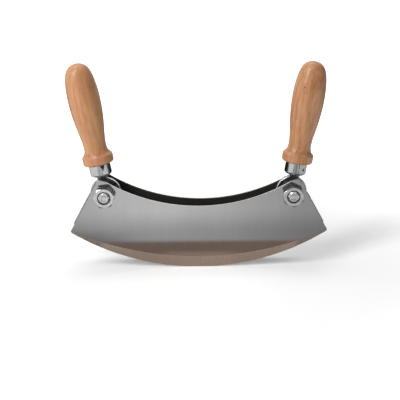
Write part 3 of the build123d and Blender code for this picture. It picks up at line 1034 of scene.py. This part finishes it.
class MEZZALUNA_OT_bolts(bpy.types.Operator):
    """Build the bolts, with their threaded ends in front and their heads behind"""

    bl_idname = "mezzaluna.bolts"
    bl_label = "Bolts"

    def execute(self, context):
        fasteners = context.scene.mezzaluna_fasteners
        plating = plated_steel("bolt_plating", fasteners.plating, fasteners.roughness * 1.2, lump=0.04)
        # The flank steel is painted shade on threads and chamfer
        flank = plated_steel("bolt_flank_shade", fasteners.flank, fasteners.roughness, lump=0.01)
        radius, corner, head = fasteners.bolt_radius, corner_radius(fasteners), fasteners.head_height
        chamfer, pitch, dimple = fasteners.end_chamfer, fasteners.thread_pitch, fasteners.dimple_radius
        end = REAR_HIGH.y - BOLT_LOW.y
        cone, face = head * CONE_SHARE, fasteners.face_radius
        outline = profile((0, -head), (face, -head), (corner, cone - head), (corner, 0), (radius, 0))
        thread_start = end - fasteners.nut_height - chamfer
        for groove in range(int((end - chamfer - thread_start) / pitch)):
            crest = thread_start + groove * pitch
            root = (radius - fasteners.thread_depth, crest + pitch / 2)
            outline += profile((radius, crest), root, (radius, crest + pitch * THREAD_SHARE))
        outline += profile((radius, end - chamfer), (radius - chamfer, end), (dimple, end))
        floor = end - fasteners.dimple_depth
        outline += profile((dimple * DIMPLE_SHARE, floor), (0, floor))
        for hand in HANDS:
            bm = turn(outline, fasteners.steps)
            cut_hexagon(bm, fasteners, -head, 0, False)
            names = f"{hand}_screw", "blade_frame", "plated_steel", f"{hand}_bolt"
            make_piece(bm, on_bolt(hand, REAR_HIGH.y), *names, plating, flank)
        return {"FINISHED"}


class MEZZALUNA_OT_sleeves(bpy.types.Operator):
    """Build the sleeves that keep blades and handle plates apart"""

    bl_idname = "mezzaluna.sleeves"
    bl_label = "Sleeves"

    def execute(self, context):
        fasteners = context.scene.mezzaluna_fasteners
        plating = plated_steel("sleeve_plating", fasteners.plating, fasteners.roughness * 1.3, lump=0.05)
        outer, chamfer = fasteners.sleeve_radius, fasteners.sleeve_chamfer
        bore = fasteners.bolt_radius + 2 * fasteners.thread_clearance
        for hand, side in product(HANDS, ("front", "rear")):
            low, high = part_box(f"{hand}_{side}_spacer")
            near, far = -high.y, -low.y
            outline = profile((bore, near), (outer - chamfer, near), (outer, near + chamfer))
            outline += profile((outer, far - chamfer), (outer - chamfer, far), (bore, far))
            bm = turn(outline, fasteners.steps, closed=True)
            smooth_all(bm, FASTENER_CREASE)
            names = f"{hand}_{side}_sleeve", "blade_frame", "plated_steel", f"{hand}_{side}_spacer"
            make_piece(bm, on_bolt(hand, 0), *names, plating)
        return {"FINISHED"}


class MEZZALUNA_OT_tangs(bpy.types.Operator):
    """Build the handle plates, each with a round eye, a neck and a spike"""

    bl_idname = "mezzaluna.tangs"
    bl_label = "Handle plates"

    def execute(self, context):
        tangs = context.scene.mezzaluna_tangs
        grips = context.scene.mezzaluna_grips
        bolt_radius = context.scene.mezzaluna_fasteners.bolt_radius

        # Painted light and shade: the rim is drawn bright, with its rear half painted darker
        def rim_back_shading(recipe):
            return recipe.span(recipe.parts(recipe.place())[1], 0.0, tangs.edge_round, 1.0, tangs.rim_back_shade)

        bright = plated_steel("plate_rim", tangs.rim, tangs.roughness, lump=0.02, fade=rim_back_shading)
        half = tangs.neck_width / 2
        eye = tangs.eye_radius
        back = tangs.thickness / 2
        spread = math.asin(half / eye)
        for hand in HANDS:
            # Painted light on the outer side of the dark flat sides, painted shade towards the other handle
            fade = inward_painted_shade(grips, hand, *(eye * part for part in EYE_FADE), tangs.outer_side_light, 1.0)
            steel = plated_steel(f"{hand}_plate_steel", tangs.steel, tangs.roughness, lump=0.06, fade=fade)
            bm = bmesh.new()
            start = bm.verts.new((-half, -back, eye * math.cos(spread)))
            marks = [start]
            for turned in (math.pi / 2 - spread, math.pi, math.pi / 2 - spread):
                marks.append(sweep(bm, marks[-1], (0, -back, 0), (0, -1, 0), turned, int(turned * EYE_STEPS)))
            sides = [(half, tangs.spike_start), (tangs.point_width / 2, tangs.spike_end - tangs.point_length)]
            corners = sides + [(0, tangs.spike_end)] + [(-x, z) for x, z in reversed(sides)]
            spike = [marks[-1]] + [bm.verts.new((x, -back, z)) for x, z in corners] + [start]
            for pair in zip(spike, spike[1:]):
                bm.edges.new(pair)
            front = bmesh.ops.contextual_create(bm, geom=bm.edges[:])["faces"][0]
            hole = bolt_radius + tangs.eye_clearance
            pierce(bm, front, Vector((0, -back, 0)), hole, HOLE_STEPS, *marks[1:3])
            thicken(bm, back)
            bmesh.ops.recalc_face_normals(bm, faces=bm.faces)
            rim = []
            for edge in bm.edges:
                one, other = (vert.co for vert in edge.verts)
                outside = min(one.length, other.length) > eye * EYE_RIM
                if outside and abs(one.y - other.y) < MERGE and edge.calc_face_angle() > RIM_TURN:
                    rim.append(edge)
            round_edges(bm, rim, tangs.edge_round)
            shade_plate(bm, PLATE_CREASE)
            # Flat sides take the dark steel and the rim the bright one, as painted shade and light
            for face in bm.faces:
                face.material_index = 0 if abs(face.normal.y) > NEARLY_FLAT else 1
            names = f"{hand}_plate", f"{hand}_handle", "tang_steel", f"{hand}_tang"
            make_piece(bm, handle_place(grips, hand), *names, steel, bright)
        return {"FINISHED"}


def along(start, end, part):
    """The value that lies a share of the way from start to end."""
    return start + (end - start) * part


def smooth_step(value):
    """Eases from nothing to all."""
    value = min(max(value, 0.0), 1.0)
    return value * value * (3 - 2 * value)


def left_dent(ferrules, across, height):
    """Depth of the staked notch: a wedge with its point down, steep on its right."""
    down = (ferrules.end - height) / ferrules.notch_height
    if not 0 <= down <= 1:
        return 0.0
    half = ferrules.notch_width / 2 * (1 - down)
    middle = ferrules.radius * ferrules.notch_angle + ferrules.notch_width * NOTCH_SLANT * down
    from_left = across - (middle - half)
    from_right = (middle + half) - across
    soft, steep = ferrules.notch_width * NOTCH_SOFT, ferrules.notch_width * NOTCH_STEEP
    return ferrules.notch_depth * smooth_step(from_left / soft) * smooth_step(from_right / steep)


def right_dent(ferrules, across, height):
    """Depth of the punched dot and of the soft groove beside it."""
    dot = math.hypot(across - ferrules.radius * ferrules.dot_angle, height - ferrules.dot_height)
    punched = ferrules.dot_depth * smooth_step(DOT_SOFT - dot / ferrules.dot_radius)
    off = abs(across - ferrules.radius * ferrules.groove_angle) / (ferrules.groove_width / 2)
    low = smooth_step((height - ferrules.start) / ferrules.foot_round)
    return punched + ferrules.groove_depth * smooth_step(1 - off) * low


class MEZZALUNA_OT_ferrules(bpy.types.Operator):
    """Build the drawn steel ferrules with their slots and dents"""

    bl_idname = "mezzaluna.ferrules"
    bl_label = "Ferrules"

    def execute(self, context):
        ferrules = context.scene.mezzaluna_ferrules
        grips = context.scene.mezzaluna_grips
        pit = plated_steel("ferrule_pit_shade", ferrules.pit, 2 * ferrules.roughness, lump=0.02)
        outer, wall, ring, foot = ferrules.radius, ferrules.wall, ferrules.ring_radius, ferrules.foot_round
        start, end, inner, lining = ferrules.start, ferrules.end, outer - wall, ferrules.start + wall
        side = start + foot
        heights = [along(side, end, row / ferrules.rows) for row in range(1, ferrules.rows)]
        under = rounded(profile((ring, start), (outer, start), (outer, side)), [foot], CORNER_STEPS)
        inside = rounded(profile((inner, side), (inner, lining), (ring, lining)), [foot - wall], CORNER_STEPS)
        outline = under[:-1] + [flat(outer, height) for height in heights + [end]]
        outline += [flat(inner, height) for height in [end] + heights[::-1]] + inside[1:]
        for hand, dent, tone, deep in (
            ("left", left_dent, 1.0, ferrules.notch_depth / 4),
            ("right", right_dent, ferrules.right_tone, ferrules.dot_depth / 2),
        ):
            # Painted shade towards the other handle, on a right ferrule drawn darker than the left
            bounds = ferrules.inner_shade_start, ferrules.inner_shade_end
            stain = inward_painted_shade(grips, hand, *bounds, tone, tone * ferrules.inner_shade_tone)
            steel = plated_steel(f"{hand}_plating", ferrules.steel, ferrules.roughness, lump=0.12, fade=stain)
            bm = turn(outline, ferrules.steps)
            self.cut_slot(bm, ferrules)

            def depth(point):
                if point.xy.length < outer - 2 * wall:
                    return 0.0
                return dent(ferrules, outer * math.atan2(point.x, -point.y), point.z)

            for vert in bm.verts:
                if vert.co.z > lining and depth(vert.co):
                    vert.co.xy *= 1 - depth(vert.co) / vert.co.xy.length
            smooth_all(bm, FERRULE_CREASE)
            # Painted shade in the notch and the dot
            for face in bm.faces:
                if depth(face.calc_center_median()) > deep:
                    face.material_index = 1
            names = f"{hand}_cup", f"{hand}_handle", "ferrule_steel", f"{hand}_ferrule"
            make_piece(bm, handle_place(grips, hand), *names, steel, pit)
        return {"FINISHED"}

    def cut_slot(self, bm, ferrules):
        """Leads both open rings of the foot to the slot's outline and closes the wall between them."""
        half_length, half_width = ferrules.slot_length / 2, ferrules.slot_width / 2
        corner = math.atan2(half_width, half_length)
        step = FULL_TURN / ferrules.steps
        open_edges = [edge for edge in bm.edges if edge.is_boundary]
        verts, chain = extrude_chain(bm, open_edges)
        for vert in verts:
            x, y = abs(vert.co.x), abs(vert.co.y)
            way = math.atan2(y, x)
            if abs(way - corner) < step / 2:
                x, y = half_length, half_width
            elif way < corner:
                x, y = half_length, half_length * math.tan(way)
            else:
                x, y = half_width / math.tan(way), half_width
            vert.co.x = math.copysign(x, vert.co.x)
            vert.co.y = math.copysign(y, vert.co.y)
        bmesh.ops.bridge_loops(bm, edges=chain)


def grip_stretches(grips):
    """The curves of the bare grip over its collar: flare, swell and the two parts of the crown."""
    crease = flat(grips.crease_radius, grips.crease_height)
    waist = flat(grips.waist_radius, crease.z + grips.waist_rise)
    belly = flat(grips.belly_radius, waist.z + grips.belly_rise)
    pole = flat(0, belly.z + grips.crown_length)
    shoulder = flat(belly.x * CROWN_SHOULDER[0], along(belly.z, pole.z, CROWN_SHOULDER[1]))
    slope = flat(-math.cos(grips.crown_slope), math.sin(grips.crown_slope)) * grips.crown_length
    pull = grips.waist_rise * FLARE_PULL
    over_waist = flat(waist.x, along(waist.z, belly.z, SWELL_PULLS[0]))
    under_belly = flat(belly.x, along(belly.z, waist.z, SWELL_PULLS[1]))
    over_belly = flat(belly.x, along(belly.z, pole.z, CROWN_RISE))
    return (
        (crease, crease + flat(-pull * FLARE_SHARE, pull), waist - flat(0, pull), waist),
        (waist, over_waist, under_belly, belly),
        (belly, over_belly, shoulder - slope * CROWN_PULLS[0], shoulder),
        (shoulder, shoulder + slope * CROWN_PULLS[1], flat(belly.x * CROWN_CAP, pole.z), pole),
    )


class MEZZALUNA_OT_grips(bpy.types.Operator):
    """Build the turned wooden grips"""

    bl_idname = "mezzaluna.grips"
    bl_label = "Grips"

    def execute(self, context):
        grips = context.scene.mezzaluna_grips
        tenon, collar, foot = grips.tenon_radius, grips.collar_radius, grips.collar_start
        corners = profile((tenon, foot), (collar, foot), (collar, grips.collar_end))
        corners += profile((grips.crease_radius, grips.crease_height))
        outline = profile((0, grips.tenon_start), (tenon, grips.tenon_start))
        outline += rounded(corners, [grips.collar_round, grips.shoulder_round], CORNER_STEPS - 1)
        for stretch in grip_stretches(grips):
            outline += interpolate_bezier(*stretch, grips.curve_steps)[1:]
        for hand in HANDS:
            bm = turn(outline, grips.steps)
            smooth_all(bm, GRIP_CREASE)
            wood = turned_beech(f"{hand}_beech", grips, hand)
            names = f"{hand}_turning", f"{hand}_handle", "varnished_beech", f"{hand}_grip"
            make_piece(bm, handle_place(grips, hand), *names, wood)
        return {"FINISHED"}


class MEZZALUNA_OT_stage(bpy.types.Operator):
    """Lay the floor, light the scene and set up the camera"""

    bl_idname = "mezzaluna.stage"
    bl_label = "Stage"

    def execute(self, context):
        scene, stage = context.scene, context.scene.mezzaluna_stage
        self.floor(stage)
        self.cards()
        self.sky(scene, stage)
        self.lamp("key_lamp", *KEY_LAMP, stage.key)
        self.lamp("top_lamp", *TOP_LAMP, stage.fill)
        lens = bpy.data.cameras.new("camera")
        lens.lens, lens.sensor_width = stage.lens, stage.sensor
        scene.camera = add_object("camera", lens)
        turned = Matrix.Rotation(stage.camera_heading, 4, "Z")
        turned @= Matrix.Rotation(math.pi / 2 - stage.camera_down, 4, "X")
        turned @= Matrix.Rotation(stage.camera_roll, 4, "Z")
        scene.camera.matrix_world = Matrix.Translation(stage.camera_place) @ turned
        scene.view_settings.view_transform = "Standard"
        return {"FINISHED"}

    def sheet(self, name, size, place, material):
        """A flat rectangle, for the floor and the cards."""
        bm = bmesh.new()
        bmesh.ops.create_grid(bm, x_segments=1, y_segments=1, size=0.5)
        bmesh.ops.scale(bm, vec=(*size, 1), verts=bm.verts)
        made = add_mesh(bm, place, name, material)
        return made

    def floor(self, stage):
        """A pale floor that turns plain white away from the chopper, where no shadow falls."""
        paint = Recipe("floor_paint")
        away = paint.add("VectorMath", {0: paint.place()}, operation="LENGTH").outputs["Value"]
        white = paint.times(paint.seen(), paint.span(away, *FLOOR_FADE, stage.floor_lift, 1.0))
        light = {"Emission_Color": (1, 1, 1), "Emission_Strength": white}
        material = paint.finish(Base_Color=stage.floor, Roughness=0.9, Specular_IOR_Level=0.0, **light)
        ground = Matrix.Translation((0, 0, CAD_BOX[0][2]))
        self.sheet("floor", (stage.floor_size, stage.floor_size), ground, material)

    def front_tones(self):
        """The front card, a painted reflection: a dark brownish part near the chopper, and a bright part that
        fades to both sides.
        """
        board = Recipe("front_card")
        sideways, depth, _ = board.parts(board.place())
        ahead = board.times(depth, -1.0)
        dim = board.times(board.span(ahead, *DIM_AHEAD), board.span(sideways, *DIM_SIDE))
        tone = board.times(
            board.span(ahead, *CARD_AHEAD),
            board.span(sideways, *CARD_RIGHT),
            board.span(sideways, *CARD_LEFT),
            board.math("SUBTRACT", 1.0, dim),
        )
        return board.glow(board.mix(board.span(ahead, *DARK_REFLECTION_EDGE), DARK_REFLECTION_TONE, board.scaled((1, 1, 1), tone)))

    def cards(self):
        """Glowing cards that only gloss shows, which paint reflections into the metal: two on the floor, one
        behind the camera and one at the right.
        """
        rear = Recipe("rear_card")
        shades = {
            "front_card": self.front_tones(),
            "rear_card": rear.glow((1, 1, 1), rear.span(rear.parts(rear.place())[1], *REAR_FADE)),
            "upper_card": Recipe("upper_card").glow((UPPER_TONE,) * 3),
            "side_card": Recipe("side_card").glow((SIDE_TONE,) * 3),
        }
        for name, (middle, turned, axis, size) in CARDS.items():
            place = Matrix.Translation(middle) @ Matrix.Rotation(turned, 4, axis)
            card = self.sheet(name, size, place, shades[name])
            for ray in ("camera", "diffuse", "shadow", "transmission"):
                setattr(card, f"visible_{ray}", False)

    def sky(self, scene, stage):
        """A sky that the camera and gloss see as white, and that lights dull surfaces less."""
        air = Recipe("sky", "worlds", "Background")
        air.finish(Color=(1, 1, 1), Strength=air.span(air.seen(), 0.0, 1.0, stage.sky, 1.0))
        scene.world = air.owner

    def lamp(self, name, place, aim, size, watts):
        """A soft rectangular lamp that points at a place."""
        light = bpy.data.lights.new(name, "AREA")
        light.shape, light.energy = "RECTANGLE", watts
        light.size, light.size_y = size
        away = Vector(place) - Vector(aim)
        turned = away.to_track_quat("Z", "Y").to_matrix().to_4x4()
        add_object(name, light).matrix_world = Matrix.Translation(place) @ turned


GROUPS = {
    "mezzaluna_blades": MezzalunaBlades,
    "mezzaluna_fasteners": MezzalunaFasteners,
    "mezzaluna_tangs": MezzalunaTangs,
    "mezzaluna_ferrules": MezzalunaFerrules,
    "mezzaluna_grips": MezzalunaGrips,
    "mezzaluna_stage": MezzalunaStage,
}
OPERATORS = (
    MEZZALUNA_OT_blades,
    MEZZALUNA_OT_sleeves,
    MEZZALUNA_OT_bolts,
    MEZZALUNA_OT_nuts,
    MEZZALUNA_OT_tangs,
    MEZZALUNA_OT_ferrules,
    MEZZALUNA_OT_grips,
    MEZZALUNA_OT_stage,
)


class MEZZALUNA_PT_sidebar(bpy.types.Panel):
    """Lists the steps that build the chopper, with their sizes and colours"""

    bl_idname = "MEZZALUNA_PT_sidebar"
    bl_label = "Mezzaluna"
    bl_space_type = "VIEW_3D"
    bl_region_type = "UI"
    bl_category = "Mezzaluna"

    def draw(self, context):
        layout = self.layout
        for operator in OPERATORS:
            layout.operator(operator.bl_idname)
        for name, group in GROUPS.items():
            box = layout.box()
            for key in group.__annotations__:
                box.prop(getattr(context.scene, name), key)


def register():
    for name, group in GROUPS.items():
        bpy.utils.register_class(group)
        setattr(bpy.types.Scene, name, PointerProperty(type=group))
    for operator in OPERATORS:
        bpy.utils.register_class(operator)
    bpy.utils.register_class(MEZZALUNA_PT_sidebar)


def unregister():
    bpy.utils.unregister_class(MEZZALUNA_PT_sidebar)
    for operator in reversed(OPERATORS):
        bpy.utils.unregister_class(operator)
    for name, group in reversed(GROUPS.items()):
        delattr(bpy.types.Scene, name)
        bpy.utils.unregister_class(group)


def main():
    register()
    bpy.ops.mezzaluna.blades()
    bpy.ops.mezzaluna.sleeves()
    bpy.ops.mezzaluna.bolts()
    bpy.ops.mezzaluna.nuts()
    bpy.ops.mezzaluna.tangs()
    bpy.ops.mezzaluna.ferrules()
    bpy.ops.mezzaluna.grips()
    bpy.ops.mezzaluna.stage()


if __name__ == "__main__":
    main()
